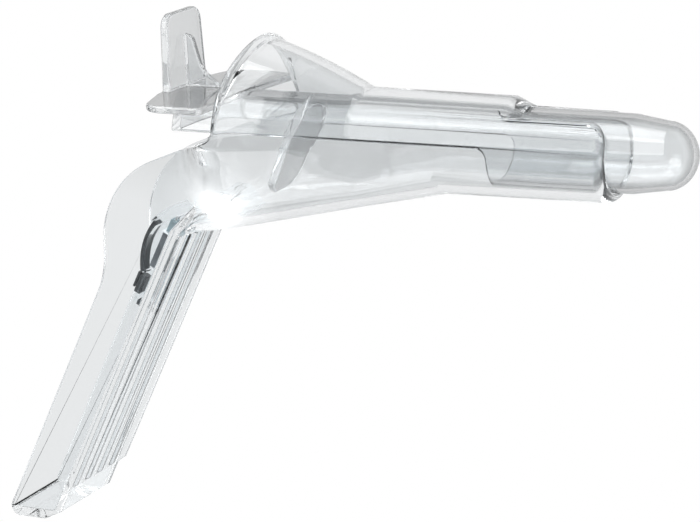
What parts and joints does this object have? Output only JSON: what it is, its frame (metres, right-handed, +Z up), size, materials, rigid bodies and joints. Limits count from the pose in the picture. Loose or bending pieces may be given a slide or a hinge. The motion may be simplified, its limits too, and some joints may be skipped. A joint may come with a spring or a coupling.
{
  "type": "anoscope",
  "caption": "Clear hand-held anoscope with a slotted sheath, flared funnel, pistol handle with grip ribs, built-in light module and a slide-out obturator.",
  "frame": {"origin": "middle of the lying part's bounding box, on the surface it lies on", "axes": "+X roughly along the sheath towards the obturator's nose, +Y roughly from the handle towards the thumb tab, +Z up from the surface"},
  "size_m": [0.1804, 0.131, 0.0526],
  "materials": {
    "clear_moulding": "clear, glossy, moulded",
    "clear_case": "clear, glossy",
    "black_plastic": "matte, finely grained",
    "cell_grey": "satin wrap",
    "sheet_white": "matte",
    "board_grey": "satin",
    "chip_ceramic": "satin",
    "tinned_wire": "bright",
    "lamp_lens": "white, lit"
  },
  "bodies": {
    "speculum": {"speculum_body": "clear_moulding", "module_case": "clear_case", "lamp_hood": "clear_case", "module_spine": "black_plastic", "switch_body": "black_plastic", "foot_clip_front": "black_plastic", "foot_clip_rear": "black_plastic", "lamp": "lamp_lens", "lamp_lead_positive": "tinned_wire", "lamp_lead_negative": "tinned_wire", "lamp_header": "chip_ceramic", "insulating_sheet": "sheet_white", "power_cell": "cell_grey", "lamp_board": "board_grey", "chip_resistor_1": "chip_ceramic", "chip_resistor_2": "chip_ceramic", "chip_resistor_3": "chip_ceramic"},
    "obturator": {"obturator": "clear_moulding"},
    "switch_slider": {"switch_slider": "black_plastic"}
  },
  "joints": [
    {"name": "obturator_slide", "type": "slide", "parent": "speculum", "child": "obturator", "axis": [-0.9905, -0.0131, 0.1369], "range_m": [0, 0.15]},
    {"name": "switch_slide", "type": "slide", "parent": "speculum", "child": "switch_slider", "axis": [-0.4568, -0.8831, -0.1074], "range_m": [0, 0.0012]}
  ]
}
